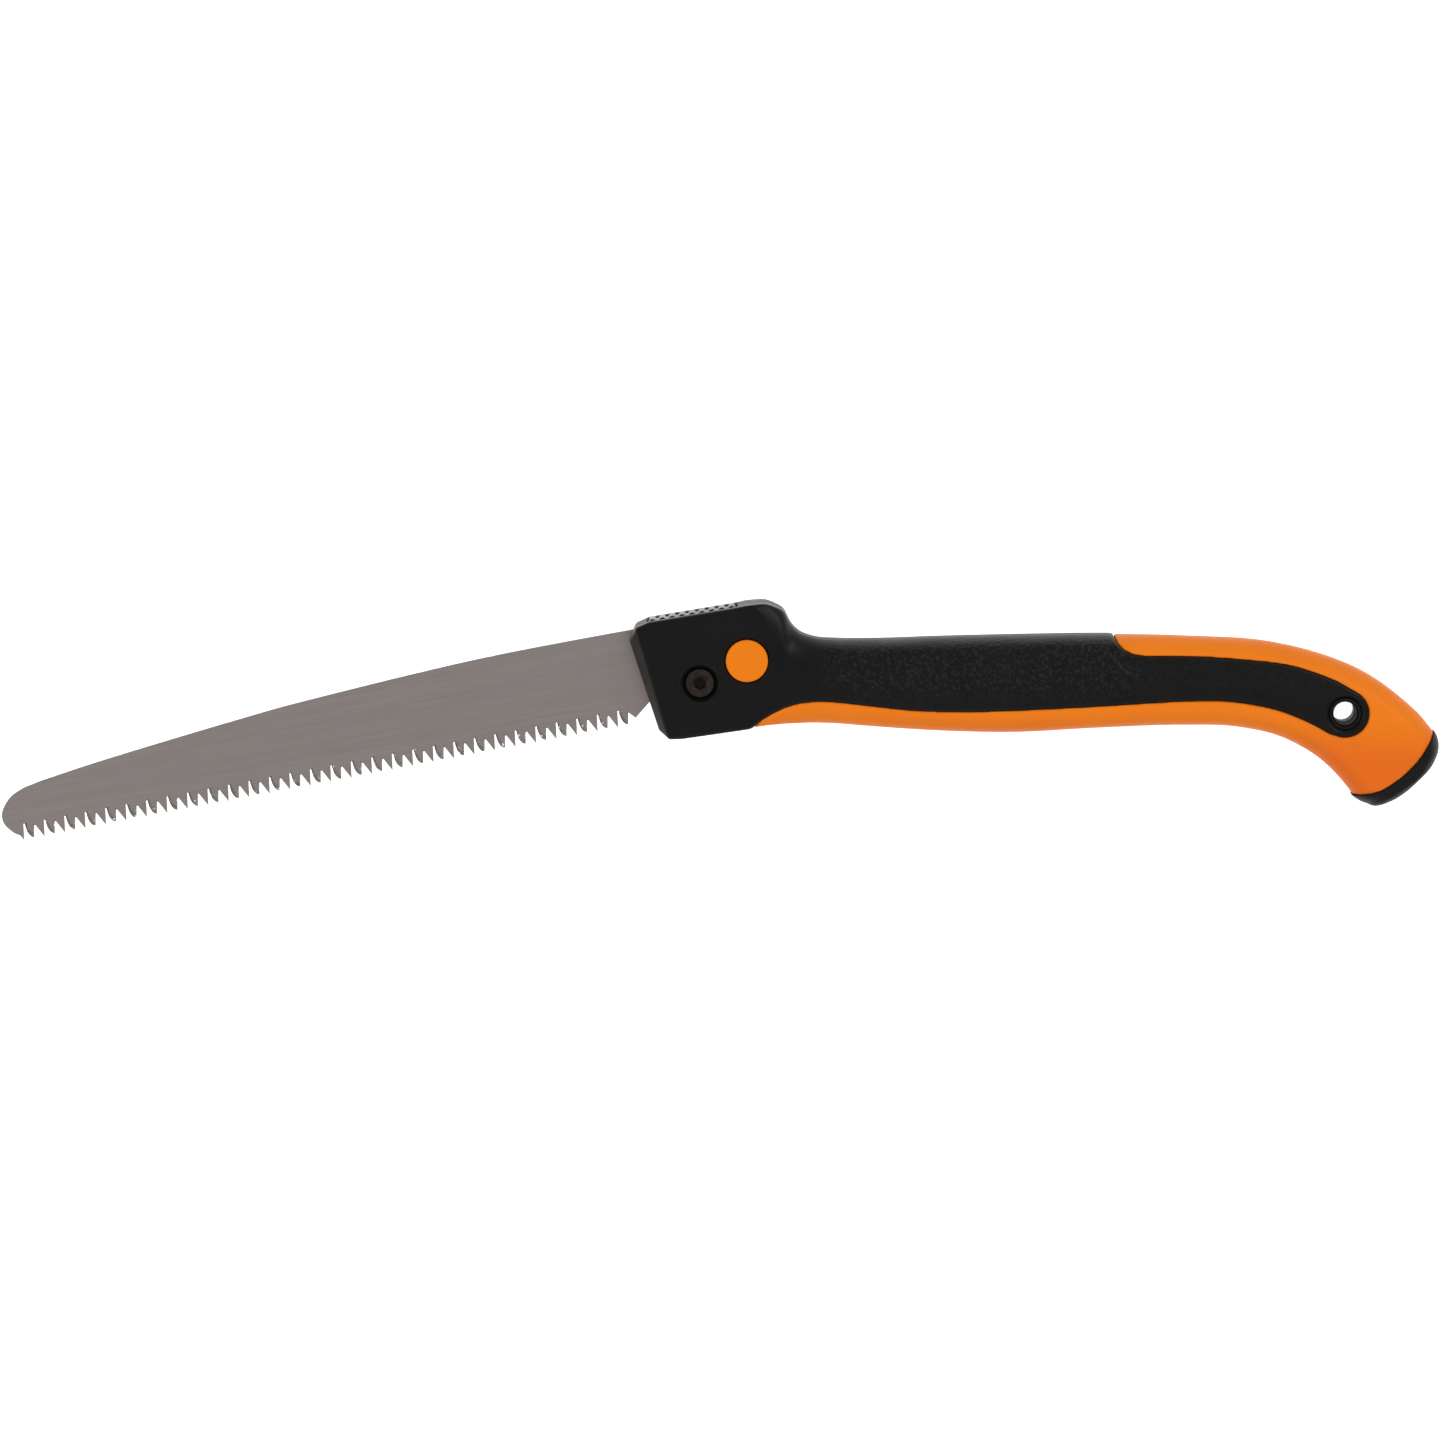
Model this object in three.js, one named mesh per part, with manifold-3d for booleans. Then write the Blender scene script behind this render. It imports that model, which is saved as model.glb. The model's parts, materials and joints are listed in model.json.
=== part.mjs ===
// Folding pruning saw, in millimetres, lying on its rear side.
// Shapes are laid out around the pivot axis: +X runs to the end of the handle, +Y to the spine of the
// open blade and +Z to the front side, with z = 0 at the middle of the blade's thickness. The whole
// saw is then moved so that its origin is at the bottom centre of its box.
import * as THREE from 'three';
import { mergeVertices } from 'three/addons/utils/BufferGeometryUtils.js';
import Module from 'manifold-3d';

const wasm = await Module();
wasm.setup();

// ---- driving dimensions ----
const GAP = 0.3;                       // clearance between neighbours
const SEAM = 0.15;                     // half of the seam between the handle halves
const OUT = 40;                        // half length of cutting tools along Z

const BLADE_THICKNESS = 1.4;
const BLADE_OPEN = THREE.MathUtils.degToRad(190.8);    // direction of the open blade
const BLADE_TRAVEL = THREE.MathUtils.degToRad(162);    // fold angle
const TOOTH_PITCH = 4.176;
const TOOTH_COUNT = 60;
const FIRST_TIP = 277.9;               // distance of the first tooth tip from the pivot
const TOOTH_LINE = -12;                // line through the tips of the leaf-shaped teeth
const POINT_LINE = -12.5;              // line through the tips of the pointed teeth
const DEEP_GULLET = -6;
const SHALLOW_GULLET = -7.3;
const GULLET_SHIFT = 0.9;              // the gullet lies this far behind its tip
// Rounded flank of each leaf-shaped tooth, from its tip.
const LEAF_FLANK = [[2.6, 3.2], [1.7, 1], [0.7, 0.1]];
const TANG_RADIUS = 16.8;

const SLOT_HALF = 1.8;                 // half width of the blade slot
const SLOT_REACH = 286.5;              // radius of the slot's end wall about the pivot

const SKIN = 2.4;                      // thickness of the black overmould
const PROUD = 0.5;                     // step from the overmould down to the core

const SLEEVE_OUTER = 4.2;
const SLEEVE_INNER = 3.3;
const SLEEVE_HALF = 6.5;
const BOLT_SHANK = 3;
const BOLT_HEAD = 6;
const BOLT_POCKET = 7.3;
const BOLT_SEAT = 9.8;                 // z of the underside of the bolt head
const BOLT_TOP = 12.6;
const BOLT_END = -13;
const SOCKET_RADIUS = 2.6;
const NUT_RADIUS = 5.8;
const NUT_TOP = -8.9;
const NUT_BOTTOM = -12.4;
const WASHER_RADIUS = 12.4;

const LOCK = new THREE.Vector2(18.7, 9);   // axis of the lock button
const BUTTON_RADIUS = 8.4;
const BUTTON_TOP = 14.9;
const BUTTON_TRAVEL = 4;
const COLLAR_RADIUS = 6.5;
const COLLAR_HALF = 1.5;
const NECK_RADIUS = 3.5;
const GUIDE_RADIUS = 3;
const SPRING_SEAT = -9.6;
const SPRING_RADIUS = 4.9;
const SPRING_WIRE = 0.45;
const SPRING_TURNS = 3.5;

const LANYARD = new THREE.Vector2(257.2, -12.2);
const LANYARD_HOLE = 4.6;
const LANYARD_WALL = 1;
const LOBE_RADIUS = 9.5;

const SCREWS = [[5, 23.6], [62, 10.5], [130, 7], [205, 1.5]];
const THUMB_HALF = 7.5;                // half width of the ribbed thumb rest

const SCREW_HEAD = 3;
const SCREW_SHANK = 1.5;
const SCREW_SEAT = -9.3;

// Cross sections of the handle: top x, y, bottom x, y, half thickness, width of the top and bottom
// edges, half height of the top and bottom walls, and edge power (2 is a flat bevel, 1 is round).
const HEAD_SECTIONS = [
  [-28.1, 16.9, -16.3, -19.2, 10.5, 1, 1, 9.9, 9.9, 2],
  [-25.6, 22.1, -12.2, -22.6, 14, 1, 1, 13, 13, 2],
  [-20.5, 24.4, -7, -22.4, 14, 1, 1, 13, 13, 2],
  [22, 31.5, 20, -18.5, 14, 1, 1.2, 13, 12.8, 2],
  [26.2, 31.7, 24, -18, 14, 6.5, 2.6, 12, 12, 1.6],
  [30, 30.3, 27, -17.7, 14, 12.5, 4.6, 10.4, 10.5, 1.3],
  [33.2, 28.5, 29.5, -17.6, 14, 15, 6.2, 8.5, 9, 1.2],
  [36.2, 23.2, 33, -17.4, 14, 15.5, 8, 6.5, 7.5, 1.2],
  [39.6, 19.8, 38, -17.3, 13.9, 14.5, 9.5, 5, 6, 1.1],
];
const GRIP_SECTIONS = [
  [45, 17.7, 44, -17.2, 13.8, 12, 9.5, 3.8, 4.5, 1.1],
  [54, 16.9, 54, -17.5, 13.6, 9.5, 9, 2.5, 3.5, 1],
  [66.4, 16.8, 66, -18.5, 13.5, 8.5, 8.5, 2, 3, 1],
  [96, 17.7, 94, -20.4, 13.8, 8.5, 8.5, 2, 2.5, 1],
  [125, 18.4, 124, -21.1, 13.95, 8.5, 8.5, 2, 2.5, 1],
  [160, 18.9, 158, -19.4, 13.95, 8.5, 8.5, 2, 2.5, 1],
  [195, 18.3, 192, -18.2, 13.8, 8.5, 8.5, 2, 2.5, 1],
  [228, 16, 216, -19.1, 13.7, 8.5, 8.5, 2, 2.5, 1],
  [251.9, 9.9, 233, -23.3, 13.6, 8.5, 8.5, 2, 2.5, 1],
  [268.3, 2.4, 246, -30.5, 13.6, 8.5, 8.5, 2, 2.5, 1],
  [281, -6.9, 254, -37.7, 13.6, 8.5, 8.5, 2, 2.5, 1],
  [290.4, -16, 259, -43.6, 13.6, 8.5, 8.5, 2, 2.5, 1],
  [295.1, -23.4, 261.5, -46.6, 13.4, 8.5, 8.5, 3, 3, 1],
  [294.3, -30.4, 266, -48.8, 12.8, 8, 8, 4, 4, 1],
  [289.2, -37.8, 272.3, -49.6, 10.8, 7, 7, 5, 5, 1],
  [284.3, -42.6, 277.0, -47.8, 8, 4, 4, 5, 5, 1],
];
const STEPS_PER_SECTION = 2;
const EDGE_STEPS = 4;
const THINNEST_WALL = 1;

// ---- solids ----
function solidOf(geometry) {
  const bare = geometry.clone();
  bare.deleteAttribute('normal');
  bare.deleteAttribute('uv');
  const merged = mergeVertices(bare, 1e-4);
  return new wasm.Manifold(new wasm.Mesh({
    numProp: 3,
    vertProperties: new Float32Array(merged.attributes.position.array),
    triVerts: new Uint32Array(merged.index.array),
  }));
}

function geometryOf(solid) {
  const mesh = solid.getMesh();
  const geometry = new THREE.BufferGeometry();
  geometry.setAttribute('position', new THREE.BufferAttribute(mesh.vertProperties, 3));
  geometry.setIndex(new THREE.BufferAttribute(mesh.triVerts, 1));
  geometry.computeVertexNormals();
  return geometry;
}

function prism(points, bottom, top) {
  const shape = new THREE.Shape(points.map(([x, y]) => new THREE.Vector2(x, y)));
  const geometry = new THREE.ExtrudeGeometry(shape, { depth: top - bottom, bevelEnabled: false });
  return solidOf(geometry.translate(0, 0, bottom));
}

function rod(centre, radius, bottom, top, sides = 36) {
  const geometry = new THREE.CylinderGeometry(radius, radius, top - bottom, sides);
  return solidOf(geometry.rotateX(Math.PI / 2).translate(centre.x, centre.y, (top + bottom) / 2));
}

// A solid turned about an axis along Z through the centre, from a profile of [radius, z] points.
function turned(centre, profile, sides = 36) {
  const points = profile.map(([radius, z]) => new THREE.Vector2(radius, z));
  const geometry = new THREE.LatheGeometry(points, sides);
  return solidOf(geometry.rotateX(Math.PI / 2).translate(centre.x, centre.y, 0));
}

function cut(solid, tools) {
  return tools.reduce((rest, tool) => rest.subtract(tool), solid);
}

// ---- outlines ----
function spline(points, steps) {
  const curve = new THREE.SplineCurve(points.map(([x, y]) => new THREE.Vector2(x, y)));
  return curve.getPoints(steps).map((point) => [point.x, point.y]);
}

function arc(centre, radius, start, end, steps) {
  return Array.from({ length: steps + 1 }, (_, i) => {
    const angle = start + (end - start) * i / steps;
    return [centre.x + radius * Math.cos(angle), centre.y + radius * Math.sin(angle)];
  });
}

// Moves each point of a counter-clockwise outline outwards.
function grown(outline, distance) {
  const count = outline.length;
  return outline.map(([x, y], i) => {
    const before = outline[(i + count - 1) % count];
    const after = outline[(i + 1) % count];
    const along = new THREE.Vector2(after[0] - before[0], after[1] - before[1]).normalize();
    return [x + along.y * distance, y - along.x * distance];
  });
}

// The black area of the handle: the head, the grip, its tapering strip and the lobe round the hole.
function gripOutline() {
  const lower = spline([[19, -21], [23.6, -15.6], [30, -11.6], [36.5, -8.9], [43.3, -7.6],
    [53.8, -7.6], [82, -10.7], [99.6, -11.4], [119.5, -11.2], [155.4, -9.5], [194.2, -7.2],
    [212.2, -7.5], [229.1, -10.5], [242, -15.4], [251.5, -20.5]], 34);
  const lobe = arc(LANYARD, LOBE_RADIUS, THREE.MathUtils.degToRad(-115), THREE.MathUtils.degToRad(62), 12);
  const upper = spline([[254, 0.6], [243.1, 4.8], [230.4, 7.9], [205.7, 10.2], [189.3, 10.8],
    [176.4, 10.9], [170, 12.6], [166.2, 16], [163.9, 22]], 20);
  return [[-45, -30], [17.5, -30], ...lower, ...lobe, ...upper, [163.9, 45], [-45, 45]];
}

function capOutline() {
  const joint = spline([[293.6, -19.7], [290.5, -25.1], [285.9, -31.8], [279.8, -37.9], [272.1, -43],
    [264.5, -45], [254, -45.3]], 16);
  return [[304, -16.5], ...joint, [254, -60], [310, -60]];
}

// ---- handle volumes ----
function interpolatedRow(rows, index, t) {
  const [before, from, to, after] = [index - 1, index, index + 1, index + 2]
    .map((i) => rows[THREE.MathUtils.clamp(i, 0, rows.length - 1)]);
  return from.map((value, column) => {
    const slopeIn = (to[column] - before[column]) / 2;
    const slopeOut = (after[column] - value) / 2;
    const square = t * t;
    const cube = square * t;
    return value * (2 * cube - 3 * square + 1) + slopeIn * (cube - 2 * square + t)
      + to[column] * (3 * square - 2 * cube) + slopeOut * (cube - square);
  });
}

function handleRows() {
  const rows = [...HEAD_SECTIONS];
  for (let index = 0; index < GRIP_SECTIONS.length - 1; index += 1) {
    for (let step = 0; step < STEPS_PER_SECTION; step += 1) {
      rows.push(interpolatedRow(GRIP_SECTIONS, index, step / STEPS_PER_SECTION));
    }
  }
  rows.push(GRIP_SECTIONS.at(-1));
  return rows;
}

// The rounded or bevelled edge of a section, as [distance from the outline, height] points.
function edgeProfile(edge, wall, half, power) {
  return Array.from({ length: EDGE_STEPS + 1 }, (_, step) => {
    const angle = Math.PI / 2 * step / EDGE_STEPS;
    return [edge * (1 - Math.cos(angle) ** power), wall + (half - wall) * Math.sin(angle) ** power];
  });
}

// One closed section as 3-D points, with its surface moved inwards by the inset.
function sectionLoop(row, inset) {
  const [topX, topY, bottomX, bottomY, half, topEdge, bottomEdge, topWall, bottomWall, power] = row;
  const down = new THREE.Vector3(bottomX - topX, bottomY - topY, 0);
  const length = down.length() - 2 * inset;
  down.normalize();
  const top = new THREE.Vector3(topX, topY, 0).addScaledVector(down, inset);
  const face = half - inset;
  const upper = edgeProfile(topEdge, Math.max(topWall - inset, THINNEST_WALL), face, power);
  const lower = edgeProfile(bottomEdge, Math.max(bottomWall - inset, THINNEST_WALL), face, power)
    .map(([across, height]) => [length - across, height])
    .reverse();
  const profile = [...upper, ...lower];
  const at = (across, height) => top.clone().addScaledVector(down, across).setZ(height);
  const frontHalf = profile.map(([across, height]) => at(across, height));
  const rearHalf = profile.map(([across, height]) => at(across, -height)).reverse();
  return [...frontHalf, ...rearHalf];
}

// The whole handle as one closed solid, with its surface moved inwards by the inset.
function handleVolume(inset) {
  const loops = handleRows().map((row) => sectionLoop(row, inset));
  loops[0].forEach((point) => point.setX(point.x + inset));
  const size = loops[0].length;
  const positions = loops.flat().flatMap((point) => [point.x, point.y, point.z]);
  const index = [];
  for (let i = 0; i < loops.length - 1; i += 1) {
    for (let j = 0; j < size; j += 1) {
      const a = i * size + j;
      const b = i * size + (j + 1) % size;
      index.push(a, b, b + size, a, b + size, a + size);
    }
  }
  const last = (loops.length - 1) * size;
  for (let j = 1; j < size - 1; j += 1) {
    index.push(0, j + 1, j);
    index.push(last, last + j, last + j + 1);
  }
  const geometry = new THREE.BufferGeometry();
  geometry.setAttribute('position', new THREE.Float32BufferAttribute(positions, 3));
  geometry.setIndex(index);
  return solidOf(geometry);
}

// A point of the blade's own frame, placed at a fold angle: u runs to the tip and v to the spine.
function bladePoint(u, v, fold) {
  const angle = BLADE_OPEN + fold;
  return [u * Math.cos(angle) + v * Math.sin(angle), u * Math.sin(angle) - v * Math.cos(angle)];
}

// The space the blade sweeps through, open at the front, along the underside and at the hook.
function slotTool(halfWidth) {
  const centre = new THREE.Vector2(0, 0);
  const roof = 25.45;
  const teeth = TOOTH_LINE - 1.1;
  const endAngle = Math.atan2(...bladePoint(SLOT_REACH, teeth, BLADE_TRAVEL).reverse());
  const end = arc(centre, SLOT_REACH, endAngle, endAngle - 0.15, 6);
  const outline = [
    bladePoint(70, roof, 0),
    bladePoint(18.6, roof, 0),
    [0, TANG_RADIUS + 0.9],
    bladePoint(0, teeth, BLADE_TRAVEL),
    ...end,
    [250, -90],
    [-90, -90],
  ];
  return prism(outline, -halfWidth, halfWidth)
    .add(rod(centre, TANG_RADIUS + 0.5, -halfWidth, halfWidth, 48))
    .add(rod(LOCK, COLLAR_RADIUS + GAP, -halfWidth, halfWidth));
}

// ---- holes shared by the cores and the overmould ----
function frontHoles() {
  const centre = new THREE.Vector2(0, 0);
  return [
    rod(centre, BOLT_POCKET, BOLT_SEAT - GAP, OUT, 40),
    rod(centre, BOLT_SHANK + GAP, 0, OUT, 24),
    rod(centre, SLEEVE_OUTER + GAP, 0, SLEEVE_HALF + GAP, 28),
    rod(LOCK, BUTTON_RADIUS + GAP, 4.6, OUT, 44),
    rod(LOCK, NECK_RADIUS + GAP, 0, OUT, 24),
    rod(LANYARD, LANYARD_HOLE + LANYARD_WALL + GAP, -OUT, OUT, 28),
    ...SCREWS.map(([x, y]) => rod(new THREE.Vector2(x, y), SCREW_SHANK + GAP, -OUT, 7.3, 12)),
  ];
}

function rearHoles() {
  const centre = new THREE.Vector2(0, 0);
  return [
    rod(centre, BOLT_POCKET, -OUT, -7.5, 40),
    rod(centre, BOLT_SHANK + GAP, -OUT, 0, 24),
    rod(centre, SLEEVE_OUTER + GAP, -SLEEVE_HALF - GAP, 0, 28),
    rod(LOCK, COLLAR_RADIUS + GAP, SPRING_SEAT, 0),
    rod(LOCK, GUIDE_RADIUS + GAP, -10.8, 0, 24),
    rod(LANYARD, LANYARD_HOLE + LANYARD_WALL + GAP, -OUT, OUT, 28),
    ...SCREWS.map(([x, y]) => rod(new THREE.Vector2(x, y), SCREW_SHANK + GAP, -OUT, 0, 12)),
    ...SCREWS.map(([x, y]) => rod(new THREE.Vector2(x, y), SCREW_HEAD + GAP, -OUT, SCREW_SEAT + GAP, 20)),
  ];
}

// The front side of the saw is the half with positive z.
function halfSpace(side) {
  const far = 400;
  const [bottom, top] = side > 0 ? [SEAM, OUT] : [-OUT, -SEAM];
  return prism([[-far, -far], [far, -far], [far, far], [-far, far]], bottom, top);
}

function thumbRestOutline(extra) {
  const start = [-21, 24.4];
  const slope = THREE.MathUtils.degToRad(9.44);
  const place = (along, up) => [
    start[0] + along * Math.cos(slope) - up * Math.sin(slope),
    start[1] + along * Math.sin(slope) + up * Math.cos(slope),
  ];
  const length = 36;
  const depth = -1.3;
  if (extra > 0) {
    return [[-extra, depth - extra], [length + extra, depth - extra], [length + extra, 6], [-extra, 6]]
      .map(([along, up]) => place(along, up));
  }
  const ribs = 9;
  const pitch = length / ribs;
  const crest = 0.35;
  const outline = [[0, depth], [length, depth]];
  for (let rib = ribs - 1; rib >= 0; rib -= 1) {
    const base = rib * pitch;
    outline.push([base + pitch - 0.5, -0.5], [base + pitch - 1.3, crest]);
    outline.push([base + 1.3, crest], [base + 0.5, -0.5]);
  }
  return outline.map(([along, up]) => place(along, up));
}

// ---- sub-parts ----
function coreHalf(side, shapes) {
  const holes = side > 0 ? frontHoles() : rearHoles();
  return cut(shapes.coreVolume.intersect(halfSpace(side)), [
    shapes.gripPocket,
    shapes.capPocket,
    shapes.slot,
    ...holes,
  ]);
}

function gripHalf(side, shapes) {
  const holes = side > 0 ? frontHoles() : rearHoles();
  const skin = shapes.outerVolume.intersect(shapes.gripArea).intersect(halfSpace(side));
  const thumbPocket = prism(thumbRestOutline(GAP), -THUMB_HALF - GAP, THUMB_HALF + GAP);
  return cut(skin, [shapes.coreSpace, shapes.slot, thumbPocket, ...holes]);
}

// The spine, the nose, the teeth and the heel, in the blade's own frame.
function cuttingOutline() {
  const spine = spline([[20.3, 25.1], [84.9, 25], [152.7, 21.7], [186.6, 18.9], [238.9, 13.4],
    [266.3, 9.8]], 20);
  const nose = spline([[274.1, 8.3], [279.6, 5.9], [283.5, 2], [285, -1.8], [284.2, -5.4],
    [281.5, -8.8]], 12);
  const outline = [...spine, ...nose];
  for (let tooth = 0; tooth < TOOTH_COUNT; tooth += 1) {
    const tip = FIRST_TIP - tooth * TOOTH_PITCH;
    if (tooth % 2 === 1) {
      const flank = LEAF_FLANK.map(([along, up]) => [tip + along, TOOTH_LINE + up]);
      outline.push(...flank, [tip, TOOTH_LINE]);
    } else {
      outline.push([tip, POINT_LINE]);
    }
    const gullet = tooth % 2 === 0 ? DEEP_GULLET : SHALLOW_GULLET;
    outline.push([tip - GULLET_SHIFT, gullet], [tip - GULLET_SHIFT - 0.5, gullet]);
  }
  outline.push([28.1, -10]);
  return outline;
}

// The round tang, with a shoulder at each end of a relieved arc that the lock collar runs along.
function tangOutline() {
  const centre = new THREE.Vector2(0, 0);
  const lockDistance = LOCK.length();
  const lockAngle = LOCK.angle();
  const openAngle = BLADE_OPEN - lockAngle;
  const foldedAngle = openAngle + BLADE_TRAVEL;
  const clearance = COLLAR_RADIUS + GAP;
  const relief = lockDistance - clearance;
  const spread = Math.acos((lockDistance ** 2 + TANG_RADIUS ** 2 - clearance ** 2)
    / (2 * lockDistance * TANG_RADIUS));
  const turn = Math.acos((lockDistance ** 2 + clearance ** 2 - TANG_RADIUS ** 2)
    / (2 * lockDistance * clearance));
  const notch = (angle, from, to) => {
    const middle = new THREE.Vector2(lockDistance * Math.cos(angle), lockDistance * Math.sin(angle));
    return arc(middle, clearance, angle + Math.PI + from, angle + Math.PI + to, 5);
  };
  return [
    ...arc(centre, TANG_RADIUS, -0.06, foldedAngle + spread - 2 * Math.PI, 3),
    ...notch(foldedAngle, -turn, 0),
    ...arc(centre, relief, foldedAngle, openAngle, 18).slice(1, -1),
    ...notch(openAngle, 0, turn),
    ...arc(centre, TANG_RADIUS, openAngle - spread, Math.PI / 2 + 0.1, 8).slice(1),
  ];
}

function blade() {
  const outline = [...cuttingOutline(), ...tangOutline()].map(([u, v]) => [u, -v]);
  const half = BLADE_THICKNESS / 2;
  return prism(outline, -half, half)
    .subtract(rod(new THREE.Vector2(0, 0), SLEEVE_OUTER + GAP, -OUT, OUT, 28));
}

function ring(centre, outer, inner, bottom, top, sides) {
  return rod(centre, outer, bottom, top, sides).subtract(rod(centre, inner, bottom - 1, top + 1, sides));
}

function pivotBolt() {
  const centre = new THREE.Vector2(0, 0);
  const profile = [[0, BOLT_END], [BOLT_SHANK - 0.4, BOLT_END], [BOLT_SHANK, BOLT_END + 0.4],
    [BOLT_SHANK, BOLT_SEAT], [BOLT_HEAD, BOLT_SEAT], [BOLT_HEAD, BOLT_TOP - 0.7],
    [BOLT_HEAD - 0.7, BOLT_TOP], [0, BOLT_TOP]];
  return turned(centre, profile).subtract(rod(centre, SOCKET_RADIUS, BOLT_TOP - 2.2, OUT, 6));
}

function pivotNut() {
  const centre = new THREE.Vector2(0, 0);
  const chamfer = turned(centre, [[0, NUT_BOTTOM], [NUT_RADIUS - 0.7, NUT_BOTTOM],
    [NUT_RADIUS + 0.1, NUT_BOTTOM + 0.6], [NUT_RADIUS + 0.1, NUT_TOP], [0, NUT_TOP]]);
  return rod(centre, NUT_RADIUS, NUT_BOTTOM, NUT_TOP, 6)
    .intersect(chamfer)
    .subtract(rod(centre, BOLT_SHANK + GAP, -OUT, OUT, 24));
}

function lockButton() {
  const bottom = 9.6;
  return turned(LOCK, [[2.3, bottom], [BUTTON_RADIUS, bottom], [BUTTON_RADIUS, BUTTON_TOP - 0.8],
    [BUTTON_RADIUS - 0.25, BUTTON_TOP - 0.25], [BUTTON_RADIUS - 0.8, BUTTON_TOP], [0, BUTTON_TOP],
    [0, bottom + 2.9], [2.3, bottom + 2.9], [2.3, bottom]], 40);
}

function lockPin() {
  return turned(LOCK, [[0, -6.4], [GUIDE_RADIUS - 0.4, -6.4], [GUIDE_RADIUS, -6],
    [GUIDE_RADIUS, -COLLAR_HALF], [COLLAR_RADIUS, -COLLAR_HALF], [COLLAR_RADIUS, COLLAR_HALF],
    [NECK_RADIUS, COLLAR_HALF], [NECK_RADIUS, 9.3], [2, 9.3], [2, 12.2], [0, 12.2]]);
}

class SpringPath extends THREE.Curve {
  getPoint(t, target = new THREE.Vector3()) {
    const angle = 2 * Math.PI * SPRING_TURNS * t;
    const bottom = SPRING_SEAT + 0.2 + SPRING_WIRE;
    const top = -COLLAR_HALF - GAP - SPRING_WIRE;
    return target.set(
      LOCK.x + SPRING_RADIUS * Math.cos(angle),
      LOCK.y + SPRING_RADIUS * Math.sin(angle),
      bottom + (top - bottom) * t,
    );
  }
}

function lockSpring() {
  const section = new THREE.Shape(arc(new THREE.Vector2(0, 0), SPRING_WIRE, 0, 2 * Math.PI * 5 / 6, 5)
    .map(([x, y]) => new THREE.Vector2(x, y)));
  return solidOf(new THREE.ExtrudeGeometry(section, {
    steps: 56, bevelEnabled: false, extrudePath: new SpringPath(),
  }));
}

function coreScrew([x, y]) {
  const centre = new THREE.Vector2(x, y);
  const bottom = SCREW_SEAT - 2.2;
  const body = turned(centre, [[0, bottom], [SCREW_HEAD - 0.8, bottom], [SCREW_HEAD, bottom + 0.8],
    [SCREW_HEAD, SCREW_SEAT], [SCREW_SHANK, SCREW_SEAT], [SCREW_SHANK, 5.6], [0, 7]], 20);
  const bar = (wide, tall) => {
    const corners = [[-wide, -tall], [wide, -tall], [wide, tall], [-wide, tall]];
    return prism(corners, -OUT, bottom + 1.3).translate([x, y, 0]);
  };
  return cut(body, [bar(1.9, 0.4), bar(0.4, 1.9)]);
}

function lanyardBush() {
  return ring(LANYARD, LANYARD_HOLE + LANYARD_WALL, LANYARD_HOLE, -13.2, 13.2, 28);
}

function endCap(shapes) {
  return shapes.outerVolume.intersect(prism(capOutline(), -OUT, OUT)).subtract(shapes.slot);
}

// ---- assembly ----
const ORIGIN = new THREE.Vector2(0, 0);
const shapes = {
  outerVolume: handleVolume(0),
  coreVolume: handleVolume(PROUD),
  coreSpace: handleVolume(SKIN),
  gripArea: prism(gripOutline(), -OUT, OUT),
  capPocket: prism(grown(capOutline(), GAP), -OUT, OUT),
  slot: slotTool(SLOT_HALF),
};
shapes.gripPocket = prism(grown(gripOutline(), GAP), -OUT, OUT).subtract(handleVolume(SKIN + GAP));

const STEEL = { color: 0x8a8380, roughness: 0.35, metalness: 0.9 };
const DARK_STEEL = { color: 0x3a3230, roughness: 0.45, metalness: 0.8 };
const ZINC = { color: 0xa9acb0, roughness: 0.4, metalness: 0.9 };
const ORANGE = { color: 0xee8020, roughness: 0.5, metalness: 0 };
const BLACK_RUBBER = { color: 0x1c1a1a, roughness: 0.7, metalness: 0 };
const NYLON = { color: 0xd8d4c8, roughness: 0.6, metalness: 0 };

const saw = new THREE.Group();

function addPart(name, solid, finish) {
  const mesh = new THREE.Mesh(geometryOf(solid), new THREE.MeshStandardMaterial(finish));
  mesh.name = name;
  saw.add(mesh);
  return mesh;
}

addPart('blade', blade(), STEEL).rotation.z = BLADE_OPEN;
addPart('front_core', coreHalf(1, shapes), ORANGE);
addPart('rear_core', coreHalf(-1, shapes), ORANGE);
addPart('front_grip', gripHalf(1, shapes), BLACK_RUBBER);
addPart('rear_grip', gripHalf(-1, shapes), BLACK_RUBBER);
addPart('thumb_rest', prism(thumbRestOutline(0), -THUMB_HALF, THUMB_HALF), BLACK_RUBBER);
addPart('end_cap', endCap(shapes), BLACK_RUBBER);
addPart('lanyard_bush', lanyardBush(), BLACK_RUBBER);
addPart('pivot_bolt', pivotBolt(), DARK_STEEL);
addPart('pivot_nut', pivotNut(), ZINC);
addPart('nut_washer', ring(ORIGIN, 6.6, BOLT_SHANK + GAP, -8.6, -7.8, 28), ZINC);
addPart('pivot_sleeve', ring(ORIGIN, SLEEVE_OUTER, SLEEVE_INNER, -SLEEVE_HALF, SLEEVE_HALF, 28), STEEL);
addPart('front_pivot_washer', ring(ORIGIN, WASHER_RADIUS, SLEEVE_OUTER + GAP, 0.95, 1.6, 32), NYLON);
addPart('rear_pivot_washer', ring(ORIGIN, WASHER_RADIUS, SLEEVE_OUTER + GAP, -1.6, -0.95, 32), NYLON);
addPart('lock_button', lockButton(), ORANGE);
addPart('lock_pin', lockPin(), ZINC);
addPart('lock_spring', lockSpring(), STEEL);
SCREWS.forEach((place, i) => addPart(`core_screw_${i + 1}`, coreScrew(place), DARK_STEEL));

const box = new THREE.Box3().setFromObject(saw, true);
const middle = box.getCenter(new THREE.Vector3());
saw.position.set(-middle.x, -middle.y, -box.min.z);

export default saw;
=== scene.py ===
import json
import math

import bmesh
import bpy
import numpy as np
from mathutils import Matrix, Vector


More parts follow.
